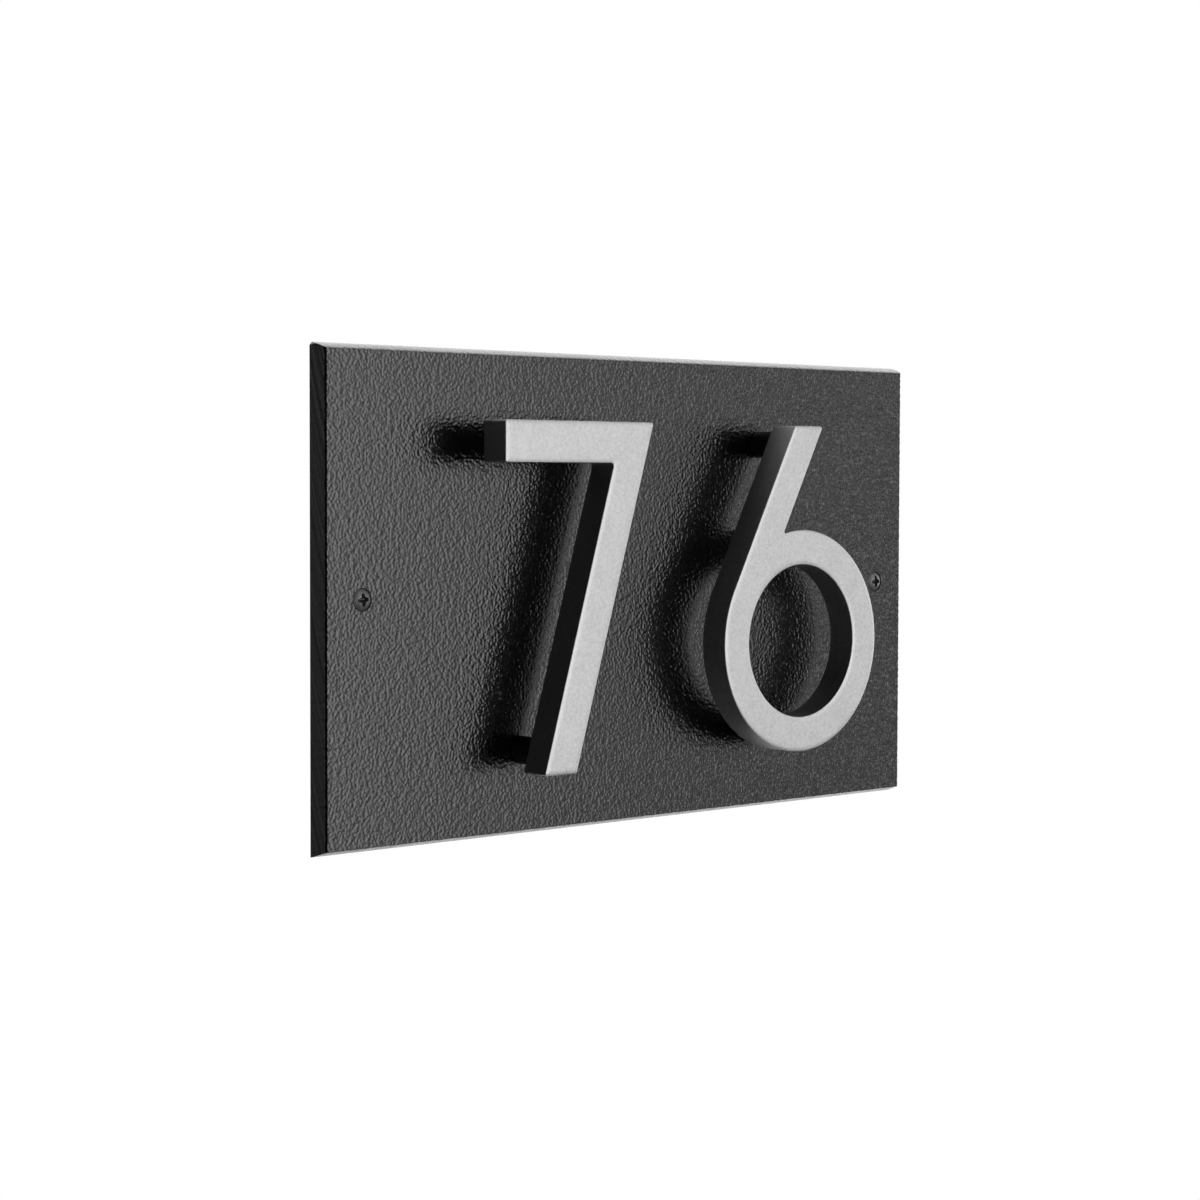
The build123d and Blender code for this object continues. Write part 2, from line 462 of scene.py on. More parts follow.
@dataclass
class Shell:
    """Points and faces of a closed mesh while it is being built."""

    points: list[Triple] = field(default_factory=list)
    normals: list[Triple] = field(default_factory=list)
    faces: list[tuple[int, ...]] = field(default_factory=list)

    def ring(self, points: list[Triple], normals: list[Triple] | None = None) -> list[int]:
        """Adds a loop of points.

        Args:
            points: Points in order.
            normals: Their normals, where the piece sets its own.

        Returns:
            Numbers of the new points.
        """
        first = len(self.points)
        self.points.extend(points)
        self.normals.extend(normals or [])
        return list(range(first, len(self.points)))

    def circle(self, axis: Vector, radii: float | np.ndarray, y: float, segments: int) -> list[int]:
        """Adds a round loop of points about a line along Y.

        Args:
            axis: Place of the line.
            radii: Radius of the loop, or a radius for each of its points.
            y: Y place of the loop.
            segments: Number of points.

        Returns:
            Numbers of the new points.
        """
        spots = zip(np.broadcast_to(radii, segments).tolist(), round_angles(segments).tolist())
        return self.ring([
            (axis.x + out * math.cos(angle), y, axis.z + out * math.sin(angle)) for out, angle in spots])

    def bridge(self, back: list[int], front: list[int]) -> None:
        """Joins two loops of the same length with four-sided faces.

        Args:
            back: First loop.
            front: Second loop.
        """
        count = len(back)
        for i in range(count):
            j = (i + 1) % count
            self.faces.append((back[i], back[j], front[j], front[i]))

    def loft(self, loops: list[list[int]]) -> None:
        """Joins each loop to the next one."""
        for first, second in zip(loops, loops[1:]):
            self.bridge(first, second)

    def fan(self, loop: list[int], tip: Triple) -> None:
        """Closes a loop with three-sided faces that meet in one point."""
        apex = self.ring([tip])[0]
        self.faces.extend((loop[i], loop[(i + 1) % len(loop)], apex) for i in range(len(loop)))

    def spindle(self, loops: list[list[int]], tips: tuple[Triple, Triple]) -> None:
        """Joins loops in a row and closes both ends.

        Args:
            loops: Loops from one end to the other.
            tips: Points that close the first end and the last.
        """
        self.loft(loops)
        self.fan(loops[0], tips[0])
        self.fan(loops[-1], tips[1])

    def piece(self, name: str, sharp_angle: float | None = None) -> bpy.types.Object:
        """Puts the shell in the scene.

        Args:
            name: Name of the object.
            sharp_angle: Angle in degrees from which an edge stays sharp; without one, the shell's
                own normals are set.

        Returns:
            The new object.
        """
        mesh = bpy.data.meshes.new(name)
        mesh.from_pydata(self.points, [], self.faces)
        if sharp_angle is not None:
            face_outward(mesh)
            shade(mesh, sharp_angle)
        else:
            mesh.polygons.foreach_set("use_smooth", [True] * len(mesh.polygons))
            mesh.normals_split_custom_set_from_vertices(self.normals)
        obj = bpy.data.objects.new(name, mesh)
        bpy.context.scene.collection.objects.link(obj)
        return obj

    def tool(self, name: str) -> bpy.types.Object:
        """Puts the shell in the scene as a cutter."""
        return self.piece(name, TOOL_SHARP_ANGLE)


def face_outward(mesh: bpy.types.Mesh) -> None:
    """Turns all the faces of a closed mesh outward.

    Args:
        mesh: Mesh to turn the faces of.
    """
    work = bmesh.new()
    work.from_mesh(mesh)
    bmesh.ops.recalc_face_normals(work, faces=work.faces)
    work.to_mesh(mesh)
    work.free()


def shade(mesh: bpy.types.Mesh, sharp_angle: float) -> None:
    """Shades a mesh smooth, with its edges sharp from an angle in degrees."""
    mesh.polygons.foreach_set("use_smooth", [True] * len(mesh.polygons))
    mesh.set_sharp_from_angle(angle=math.radians(sharp_angle))


def turned(profile: list[Span], centre: Vector, segments: int) -> Shell:
    """Turns a profile about a line along Y.

    Args:
        profile: Radii and Y places from one end on the axis to the other; only the ends are on it.
        centre: Place of the axis.
        segments: Number of steps round the axis.

    Returns:
        The closed shell.
    """
    shell = Shell()
    rings = [shell.circle(centre, radius, y, segments) for radius, y in profile[1:-1]]
    shell.spindle(rings, ((centre.x, profile[0][1], centre.z), (centre.x, profile[-1][1], centre.z)))
    return shell


def eased_rim(radius: float, y: float, ease: float, steps: int, toward: float) -> list[Span]:
    """Rounds the rim of a turned end by a quarter of a circle.

    Args:
        radius: Radius beside the rounding.
        y: Y place of the end.
        ease: Radius of the rounding.
        steps: Number of steps along it.
        toward: One when the rounding leaves the end toward +Y, minus one toward -Y.

    Returns:
        Radii and Y places, from the end on.
    """
    profile = []
    for i in range(steps + 1):
        angle = math.radians(90.0 * i / steps)
        in_by, along_by = ease * (1.0 - math.sin(angle)), ease * (1.0 - math.cos(angle))
        profile.append((radius - in_by, y + toward * along_by))
    return profile


def block(centre: Triple, size: Triple, turn: float) -> Shell:
    """Makes a block turned about the Y axis.

    Args:
        centre: Middle of the block.
        size: Its three lengths.
        turn: Angle in degrees.

    Returns:
        The closed shell.
    """
    shell = Shell()
    turning = Matrix.Rotation(math.radians(turn), 3, "Y")
    loops = []
    for side in (0.5, -0.5):
        corners = [(-0.5, -0.5), (0.5, -0.5), (0.5, 0.5), (-0.5, 0.5)]
        spots = [turning @ Vector((u * size[0], side * size[1], v * size[2])) for u, v in corners]
        loops.append(shell.ring([tuple(spot + Vector(centre)) for spot in spots]))
    shell.bridge(*loops)
    shell.faces.append(tuple(loops[0]))
    shell.faces.append(tuple(reversed(loops[1])))
    return shell


def carve(body: bpy.types.Object, tools: list[bpy.types.Object], sharp_angle: float) -> None:
    """Cuts closed tools out of a closed body, then takes the tools away.

    Args:
        body: Object to cut.
        tools: Objects to cut with.
        sharp_angle: Angle in degrees from which an edge of the result stays sharp.
    """
    for tool in tools:
        cut = body.modifiers.new(tool.name, "BOOLEAN")
        cut.operation = "DIFFERENCE"
        cut.solver = "MANIFOLD"
        cut.object = tool
    seen = body.evaluated_get(bpy.context.evaluated_depsgraph_get())
    result = bpy.data.meshes.new_from_object(seen)
    body.modifiers.clear()
    body.data = result
    result.name = body.name
    shade(result, sharp_angle)
    for tool in tools:
        bpy.data.meshes.remove(tool.data)


@dataclass
class Piece:
    """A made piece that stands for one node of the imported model."""

    name: str
    node: str
    slot: Slot
    finishes: tuple[Finish, ...] = ()

    def build(self) -> bpy.types.Object:
        """Makes the piece's mesh and puts it in place."""
        raise NotImplementedError

    def dress(self, obj: bpy.types.Object) -> None:
        """Gives the made object its finishes.

        Args:
            obj: Object to dress.
        """
        obj.data.materials.clear()
        for finish in self.finishes:
            obj.data.materials.append(finish.material())

    def make(self) -> None:
        """Builds and dresses the piece, ties it to the frame and reports it."""
        obj = self.build()
        self.dress(obj)
        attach(obj, BODY)
        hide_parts(self.node)
        obj.data.calc_loop_triangles()
        LOG.info("%s for %s: %d triangles", self.name, self.node, len(obj.data.loop_triangles))


@dataclass
class EmbossedSheet(Piece):
    """Backing sheet: pebbled face, four sawn bevels, holes for the screws and one clipped corner."""

    name: str = "embossed_sheet"
    node: str = "backing_panel"
    slot: Slot = Slot.PANEL
    finishes: tuple[Finish, ...] = (
        EmbossedSkin(),
        SawnEdge(name="sawn_upright_edge", run=Run.UPRIGHT),
        SawnEdge(name="sawn_level_edge", run=Run.LEVEL),
        PlainBack(),
    )
    bevel_setback: float = 2.0 * MM
    grid_pitch: float = 0.8 * MM
    bevel_rows: int = 6
    top_crown: float = 0.5
    band_width: float = 0.4
    relief_wave: float = 3.2 * MM
    relief_height: float = 0.012 * MM
    relief_limit: float = 2.5
    edge_wander: float = 0.08 * MM
    edge_wave: float = 2.6 * MM
    wander_limit: float = 1.6
    left_drift: float = 0.12 * MM
    level_drift: float = 0.22 * MM
    seed: int = 76
    shank_hole_radius: float = 2.25 * MM
    counterbore_radius: float = 4.5 * MM
    counterbore_depth: float = 3.5 * MM
    wall_hole_radius: float = 2.335 * MM
    mouth_radius: float = 4.2 * MM
    sink_angle: float = 82.0
    corner_clip: float = 1.1 * MM
    clip_block: float = 6.0 * MM
    clip_turn: float = 45.0
    hole_segments: int = 64
    overrun: float = 0.5 * MM
    sharp_angle: float = 32.0
    face_depth: float = 0.2 * MM
    edge_reach: float = 0.3 * MM
    flat_limit: float = 0.8
    standoff_nodes: tuple[str, ...] = ()

    def band_noise(self, shape: tuple[int, ...], wave: float, seed: int) -> np.ndarray:
        """Makes noise whose waves are all about one length.

        Args:
            shape: Size of the field in steps of the grid.
            wave: Wavelength of the noise.
            seed: Start of the random numbers.

        Returns:
            Field with a spread of one.
        """
        plain = np.random.default_rng(seed).standard_normal(shape)
        rates = np.meshgrid(*[np.fft.fftfreq(count, d=self.grid_pitch) for count in shape], indexing="ij")
        rate = np.sqrt(sum(axis ** 2 for axis in rates))
        band = np.exp(-0.5 * ((rate * wave - 1.0) / self.band_width) ** 2)
        shaped = np.fft.ifftn(np.fft.fftn(plain) * band).real
        return shaped / shaped.std()

    def slab(self) -> Shell:
        """Makes the sheet without its holes.

        Returns:
            Closed shell with a fine grid on the face and rows of faces down the bevels.
        """
        low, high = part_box(self.node)
        half_width = high.x - self.bevel_setback
        half_height = high.z - self.bevel_setback
        columns = round(2.0 * half_width / self.grid_pitch) + 1
        rows = round(2.0 * half_height / self.grid_pitch) + 1
        xs, zs = np.meshgrid(np.linspace(-half_width, half_width, columns),
                             np.linspace(-half_height, half_height, rows))
        relief = self.band_noise((rows, columns), self.relief_wave, self.seed)
        relief = np.clip(relief, -self.relief_limit, self.relief_limit)
        ys = low.y + self.relief_height * (self.relief_limit - relief)
        numbers = np.arange(rows * columns).reshape(rows, columns)
        rim = np.concatenate([numbers[0, :-1], numbers[:-1, -1], numbers[-1, :0:-1], numbers[:0:-1, 0]])
        face = np.stack([xs.ravel(), ys.ravel(), zs.ravel()], axis=1)
        ideal = face[rim].copy()
        face[:, 2] *= 1.0 - self.level_drift / half_height
        face[:, 0] *= 1.0 - self.left_drift / half_width * (face[:, 0] < 0.0)
        wander = self.band_noise((len(rim),), self.edge_wave, self.seed + 1)
        inward = self.edge_wander * np.clip(wander, -self.wander_limit, self.wander_limit)
        face[rim, 0] *= 1.0 - inward / half_width * (np.abs(ideal[:, 0]) > half_width - RIM_SLACK)
        face[rim, 2] *= 1.0 - inward / half_height * (np.abs(ideal[:, 2]) > half_height - RIM_SLACK)
        shell = Shell()
        shell.ring([tuple(point) for point in face.tolist()])
        quads = np.stack([numbers[:-1, :-1], numbers[:-1, 1:], numbers[1:, 1:], numbers[1:, :-1]], axis=-1)
        shell.faces.extend(tuple(quad) for quad in quads.reshape(-1, 4).tolist())
        foot = ideal * np.array([high.x / half_width, 0.0, high.z / half_height])
        foot[:, 1] = high.y
        crown = self.top_crown * (ideal[:, 2:] > half_height - RIM_SLACK)
        loop = rim.tolist()
        for row in range(1, self.bevel_rows + 1):
            share = row / self.bevel_rows
            spread = share + crown * share * (1.0 - share)
            points = face[rim] * (1.0 - spread) + foot * spread
            points[:, 1] = face[rim, 1] * (1.0 - share) + high.y * share
            following = shell.ring([tuple(point) for point in points.tolist()])
            shell.bridge(following, loop)
            loop = following
        shell.faces.append(tuple(reversed(loop)))
        return shell

    def tools(self) -> list[bpy.types.Object]:
        """Makes the cutters for the holes and the clipped corner.

        Returns:
            Closed objects to cut the slab with.
        """
        low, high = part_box(self.node)
        front, back = low.y - self.overrun, high.y + self.overrun
        step = high.y - self.counterbore_depth
        drill = [
            (0.0, front), (self.shank_hole_radius, front), (self.shank_hole_radius, step),
            (self.counterbore_radius, step), (self.counterbore_radius, back), (0.0, back),
        ]
        made = []
        for node in self.standoff_nodes:
            near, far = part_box(node)
            made.append(turned(drill, (near + far) / 2.0, self.hole_segments).tool("drill_" + node))
        near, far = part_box("wall_screws")
        head = (far.z - near.z) / 2.0
        sink = (self.mouth_radius - self.wall_hole_radius) / math.tan(math.radians(self.sink_angle / 2.0))
        countersink = [
            (0.0, front), (self.mouth_radius, front), (self.mouth_radius, low.y),
            (self.wall_hole_radius, low.y + sink), (self.wall_hole_radius, back), (0.0, back),
        ]
        for side, x in (("left", near.x + head), ("right", far.x - head)):
            axis = Vector((x, 0.0, (near.z + far.z) / 2.0))
            made.append(turned(countersink, axis, self.hole_segments).tool("countersink_" + side))
        reach = (self.clip_block / 2.0 - self.corner_clip / math.sqrt(2.0)) / math.sqrt(2.0)
        corner = (low.x - reach, high.y, high.z + reach)
        size = (self.clip_block, high.y - low.y, self.clip_block)
        made.append(block(corner, size, self.clip_turn).tool("corner_clip"))
        return made

    def build(self) -> bpy.types.Object:
        """Makes the slab and cuts its holes.

        Returns:
            The sheet.
        """
        obj = self.slab().piece(self.name, self.sharp_angle)
        carve(obj, self.tools(), self.sharp_angle)
        return obj

    def dress(self, obj: bpy.types.Object) -> None:
        """Gives the face, the sawn edges and the back their finishes.

        Args:
            obj: The sheet.
        """
        super().dress(obj)
        low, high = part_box(self.node)
        count = len(obj.data.polygons)
        middles, normals = np.empty(count * 3), np.empty(count * 3)
        obj.data.polygons.foreach_get("center", middles)
        obj.data.polygons.foreach_get("normal", normals)
        middles, normals = middles.reshape(-1, 3), normals.reshape(-1, 3)
        inset = self.bevel_setback + self.edge_reach
        near_front = middles[:, 1] < low.y + self.face_depth
        outer_x = np.abs(middles[:, 0]) > high.x - inset
        outer_z = np.abs(middles[:, 2]) > high.z - inset
        sideways = np.abs(normals[:, 1]) < self.flat_limit
        across = np.abs(normals[:, 0]) >= np.abs(normals[:, 2])
        picks = np.full(count, int(SheetSide.BACK), dtype=np.int32)
        picks[near_front & (normals[:, 1] < -self.flat_limit)] = SheetSide.FACE
        picks[sideways & outer_x & across] = SheetSide.UPRIGHT_EDGE
        picks[sideways & outer_z & ~across] = SheetSide.LEVEL_EDGE
        obj.data.polygons.foreach_set("material_index", picks)
        obj.data.update()


@dataclass(frozen=True)
class Arc:
    """One arc of an outline in X and Z; straight runs join the arcs where their ends meet tangent."""

    centre: Vector
    radius: float
    start: float
    sweep: float
    least_radius: float = 0.08 * MM

    def samples(self, step: float, inset: float) -> list[tuple[Vector, Vector]]:
        """Gives points along the arc, moved into the material, with their normals, which point out of it.

        A rounding that is smaller than the inset keeps its least radius and moves in along its bisector.

        Args:
            step: Greatest angle between points, in radians.
            inset: Distance that the arc is moved in.

        Returns:
            Pairs of a point and its normal.
        """
        count = max(2, math.ceil(abs(self.sweep) / step) + 1)
        outward = 1.0 if self.sweep > 0.0 else -1.0
        centre, radius = self.centre, self.radius - outward * inset
        if radius < self.least_radius:
            middle = self.start + self.sweep / 2.0
            bisector = Vector((math.cos(middle), math.sin(middle)))
            centre = centre - bisector * ((self.least_radius - radius) / math.cos(self.sweep / 2.0))
            radius = self.least_radius
        pairs = []
        for i in range(count):
            angle = self.start + self.sweep * i / (count - 1)
            ray = Vector((math.cos(angle), math.sin(angle)))
            pairs.append((centre + ray * radius, ray * outward))
        return pairs


def corner_arc(before: Vector, corner: Vector, after: Vector, radius: float) -> Arc:
    """Rounds one corner of an outline that runs anticlockwise.

    Args:
        before: Corner before it.
        corner: The corner.
        after: Corner after it.
        radius: Radius of the rounding.

    Returns:
        Arc tangent to both runs.
    """
    arriving = (corner - before).normalized()
    leaving = (after - corner).normalized()
    turning = math.atan2(arriving.x * leaving.y - arriving.y * leaving.x, arriving.dot(leaving))
    side = 1.0 if turning > 0.0 else -1.0
    start = corner - arriving * radius * math.tan(abs(turning) / 2.0)
    toward = Vector((-arriving.y, arriving.x)) * side
    centre = start + toward * radius
    ray = start - centre
    return Arc(centre, radius, math.atan2(ray.y, ray.x), turning)


@dataclass
class Numeral(Piece):
    """Thick numeral with a flat face and eased edges."""

    slot: Slot = Slot.NUMERAL
    finishes: tuple[Finish, ...] = (SatinSilver(),)
    front_ease: float = 0.4 * MM
    back_ease: float = 0.3 * MM
    ease_steps: int = 6
    roll_width: float = 2.0 * MM
    roll_angle: float = 15.0
    roll_fade: float = 1.4
    roll_steps: int = 8
    swell: float = 0.1 * MM
    corner_radius: float = 0.8 * MM
    small_radius: float = 5.0 * MM
    small_step: float = math.radians(9.0)
    wide_step: float = math.radians(1.25)

    def outlines(self) -> list[list[Arc]]:
        """Gives the outer outline, then the outlines of any holes."""
        raise NotImplementedError

    def section(self) -> list[tuple[float, float, float, float]]:
        """Steps round the numeral's side from back to front.

        Returns:
            For each step the offset in from the outline, the Y place, and how far the normal goes
            out from the outline and along Y.
        """
        low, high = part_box(self.node)
        steps = []
        for i in range(self.ease_steps + 1):
            angle = math.radians(90.0 * (1.0 - i / self.ease_steps))
            out, along = math.cos(angle), math.sin(angle)
            steps.append((self.back_ease * (1.0 - out), high.y - self.back_ease * (1.0 - along), out, along))
        least = math.radians(self.roll_angle)
        drop = math.tan(least) * self.roll_width / (self.roll_fade + 1.0)
        for i in range(self.ease_steps):
            angle = QUARTER_TURN + (least - QUARTER_TURN) * i / self.ease_steps
            out, along = math.sin(angle), math.cos(angle)
            depth = drop + self.front_ease * (math.cos(least) - along)
            steps.append((self.front_ease * (1.0 - out), low.y + depth, out, -along))
        first = self.front_ease * (1.0 - math.sin(least))
        for i in range(self.roll_steps + 1):
            left = 1.0 - i / self.roll_steps
            angle = math.atan(math.tan(least) * left ** self.roll_fade)
            inset, depth = first + self.roll_width * (1.0 - left), drop * left ** (self.roll_fade + 1.0)
            steps.append((inset, low.y + depth, math.sin(angle), -math.cos(angle)))
        return [(inset - self.swell, y, out, along) for inset, y, out, along in steps]

    def build(self) -> bpy.types.Object:
        """Sweeps the section round each outline and closes the face and the back.

        Returns:
            The numeral.
        """
        shell = Shell()
        backs, fronts = [], []
        section = self.section()
        for arcs in self.outlines():
            loops = []
            for inset, y, out, along in section:
                pairs = [pair for arc in arcs for pair in arc.samples(self.step(arc), inset)]
                points = [(point.x, y, point.y) for point, _ in pairs]
                normals = [(normal.x * out, along, normal.y * out) for _, normal in pairs]
                loops.append(shell.ring(points, normals))
            shell.loft(loops)
            backs.append(loops[0])
            fronts.append(loops[-1])
        self.close(shell, backs, to_front=False)
        self.close(shell, fronts, to_front=True)
        return shell.piece(self.name)

    def step(self, arc: Arc) -> float:
        """Gives a fine angle step for wide arcs and a coarse one for small roundings."""
        return self.small_step if arc.radius < self.small_radius else self.wide_step

    def close(self, shell: Shell, loops: list[list[int]], to_front: bool) -> None:
        """Fills the flat face within loops.

        Args:
            shell: Shell to add the faces to.
            loops: Outer loop, then the loops of any holes.
            to_front: Whether the face looks to the front.
        """
        numbers = [number for loop in loops for number in loop]
        flat = [[Vector((shell.points[n][0], shell.points[n][2], 0.0)) for n in loop] for loop in loops]
        for triangle in tessellate_polygon(flat):
            a, b, c = (numbers[i] for i in triangle)
            p, q, r = (Vector((shell.points[n][0], shell.points[n][2])) for n in (a, b, c))
            anticlockwise = (q - p).cross(r - p) > 0.0
            shell.faces.append((a, b, c) if anticlockwise == to_front else (a, c, b))


@dataclass
class Seven(Numeral):
    """The seven: a level bar and a straight leaning stem."""

    name: str = "satin_seven"
    node: str = "numeral_seven"
    height: float = 127.0 * MM
    width: float = 72.6 * MM
    bar_height: float = 14.9 * MM
    stem_width: float = 14.7 * MM
    lean: float = 16.8
    inner_radius: float = 1.2 * MM

    def outlines(self) -> list[list[Arc]]:
        """Rounds the corners of the seven.

        Returns:
            The one outline.
        """
        low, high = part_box(self.node)
        slope = math.tan(math.radians(self.lean))
        level = self.stem_width / math.cos(math.radians(self.lean))
        right = low.x + self.width
        foot_right = right - self.height * slope
        bar_foot = high.z - self.bar_height
        corners = [
            (Vector((low.x, high.z)), self.corner_radius),
            (Vector((low.x, bar_foot)), self.corner_radius),
            (Vector((right - level - self.bar_height * slope, bar_foot)), self.inner_radius),
            (Vector((foot_right - level, low.z)), self.corner_radius),
            (Vector((foot_right, low.z)), self.corner_radius),
            (Vector((right, high.z)), self.corner_radius),
        ]
        before, after = corners[-1:] + corners[:-1], corners[1:] + corners[:1]
        return [[corner_arc(first[0], spot, last[0], radius)
                 for first, (spot, radius), last in zip(before, corners, after)]]


@dataclass
class Six(Numeral):
    """The six: a round bowl and a straight stem that runs tangent into it.

    The hole's loop is swept a little short of a full turn, and a last straight run closes it.
    """

    name: str = "satin_six"
    node: str = "numeral_six"
    stroke: float = 13.35 * MM
    stem_width: float = 14.0 * MM
    lean: float = 28.0
    notch_radius: float = 0.6 * MM
    hole_share: float = 1.0 - 1.0 / 288.0

    def outlines(self) -> list[list[Arc]]:
        """Lays the bowl, the notch and the two corners of the stem in order, then the hole.

        Returns:
            The outer outline and the hole's.
        """
        low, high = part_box(self.node)
        radius = (high.x - low.x) / 2.0
        centre = Vector(((low.x + high.x) / 2.0, low.z + radius))
        lean = math.radians(self.lean)
        across = Vector((-math.cos(lean), math.sin(lean)))
        along = Vector((math.sin(lean), math.cos(lean)))
        root = centre + across * radius
        root_angle = math.atan2(across.y, across.x)
        top_left = root + along * ((high.z - root.y) / along.y)
        top_right = top_left + Vector((self.stem_width / math.cos(lean), 0.0))
        inset = radius - self.stem_width - self.notch_radius
        reach = math.sqrt((radius + self.notch_radius) ** 2 - inset ** 2)
        notch = centre + across * inset + along * reach
        to_notch = notch - centre
        notch_angle = math.atan2(to_notch.y, to_notch.x)
        notch_start = math.atan2(-to_notch.y, -to_notch.x)
        swing = (root_angle - notch_start) % FULL_TURN - FULL_TURN
        outer = [
            Arc(centre, radius, root_angle, notch_angle + FULL_TURN - root_angle),
            Arc(notch, self.notch_radius, notch_start, swing),
            corner_arc(notch + across * self.notch_radius, top_right, top_left, self.corner_radius),
            corner_arc(top_right, top_left, root, self.corner_radius),
        ]
        return [outer, [Arc(centre, radius - self.stroke, math.pi, -FULL_TURN * self.hole_share)]]


@dataclass
class StandoffTube(Piece):
    """Black tube between the sheet and a numeral."""

    slot: Slot = Slot.STANDOFF
    finishes: tuple[Finish, ...] = (MouldedBlack(),)
    bore_radius: float = 2.25 * MM
    edge_ease: float = 0.4 * MM
    ease_steps: int = 4
    segments: int = 96
    sharp_angle: float = 40.0

    def build(self) -> bpy.types.Object:
        """Sweeps the tube's wall round its axis.

        Returns:
            The tube.
        """
        low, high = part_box(self.node)
        axis = (low + high) / 2.0
        radius = (high.x - low.x) / 2.0
        wall = [(self.bore_radius, low.y)]
        wall += eased_rim(radius, low.y, self.edge_ease, self.ease_steps, 1.0)
        wall += [(out, low.y + high.y - y) for out, y in reversed(wall)]
        shell = Shell()
        loops = [shell.circle(axis, out, y, self.segments) for out, y in wall]
        shell.loft(loops + loops[:1])
        return shell.piece(self.name, self.sharp_angle)


@dataclass
class Screws(Piece):
    """Screws of one kind: turned, threaded and with a driven cross recess."""

    thread_pitch: float = 1.69 * MM
    thread_depth: float = 0.55 * MM
    ridge_width: float = 0.3
    ridge_power: float = 0.8
    least_root: float = 0.25
    run_out: float = 0.25
    recess_span: float = 4.8 * MM
    recess_wing: float = 1.1 * MM
    recess_core: float = 0.95 * MM
    recess_depth: float = 2.4 * MM
    recess_point: float = 0.7 * MM
    recess_taper: float = 10.0
    recess_overrun: float = 0.1 * MM
    least_wing: float = 0.05 * MM
    core_ratio: float = 1.1
    segments: int = 64
    rows_per_turn: int = 14
    sharp_angle: float = 38.0

    def threaded(self, shell: Shell, axis: Vector, ends: Span, crest: list[Span]) -> list[list[int]]:
        """Winds a thread round a stretch of the screw.

        Args:
            shell: Shell to add the rings to.
            axis: Place of the screw.
            ends: Y places where the thread starts and ends.
            crest: Places along Y from the start, as shares of the stretch, and the radius over the
                thread there.

        Returns:
            The rings, in order.
        """
        start, end = ends
        turns = abs(end - start) / self.thread_pitch
        rows = max(2, round(turns * self.rows_per_turn))
        around = round_angles(self.segments) / FULL_TURN
        shares, radii = zip(*crest)
        root_share = max(self.least_root, 1.0 - self.thread_depth / max(radii))
        rings = []
        for row in range(rows + 1):
            share = row / rows
            top = float(np.interp(share, shares, radii))
            fade = min(1.0, share * turns, (1.0 - share) * turns + self.run_out)
            phase = (share * turns - around) % 1.0
            ridge = np.clip(1.0 - np.abs(phase - 0.5) / self.ridge_width, 0.0, 1.0) ** self.ridge_power
            root = root_share * top
            spots = root + (top - root) * ridge * fade
            rings.append(shell.circle(axis, spots, start + (end - start) * share, self.segments))
        return rings

    def spin(self, shell: Shell, axis: Vector, profile: list[Span]) -> list[list[int]]:
        """Adds a plain ring for each radius and Y place of a profile."""
        return [shell.circle(axis, radius, y, self.segments) for radius, y in profile]

    def recess(self, axis: Vector, mouth: float, toward: float, turn: float) -> bpy.types.Object:
        """Makes the tool that sinks a tapered, pointed cross into a head.

        Args:
            axis: Place of the screw.
            mouth: Y place of the top of the head.
            toward: One when the recess goes toward +Y, minus one when it goes toward -Y.
            turn: Angle in degrees from upright.

        Returns:
            The closed tool.
        """
        turning = Matrix.Rotation(math.radians(turn), 3, "Y")
        slope = math.tan(math.radians(self.recess_taper))
        shell = Shell()
        loops = []
        for depth in (-self.recess_overrun, self.recess_depth):
            narrowing = max(0.0, depth) * slope
            span = self.recess_span / 2.0 - narrowing
            wing = max(self.recess_wing / 2.0 - narrowing, self.least_wing)
            core = max(self.recess_core - narrowing, self.core_ratio * wing)
            quarter = [(span, -wing), (span, wing), (core, core)]
            spots = []
            for c, s in ((1, 0), (0, 1), (-1, 0), (0, -1)):
                spots += [turning @ Vector((u * c - v * s, 0.0, u * s + v * c)) for u, v in quarter]
            y = mouth + toward * depth
            loops.append(shell.ring([(axis.x + spot.x, y, axis.z + spot.z) for spot in spots]))
        shell.bridge(*loops)
        shell.faces.append(tuple(loops[0]))
        bottom = mouth + toward * (self.recess_depth + self.recess_point)
        shell.fan(loops[1], (axis.x, bottom, axis.z))
        return shell.tool("driver_bit")

    def driven(self, shell: Shell, tools: list[bpy.types.Object]) -> bpy.types.Object:
        """Puts the screws in the scene and sinks their recesses.

        Args:
            shell: Shell of all the screws.
            tools: Tool for each recess.

        Returns:
            The screws.
        """
        obj = shell.piece(self.name, self.sharp_angle)
        carve(obj, tools, self.sharp_angle)
        return obj


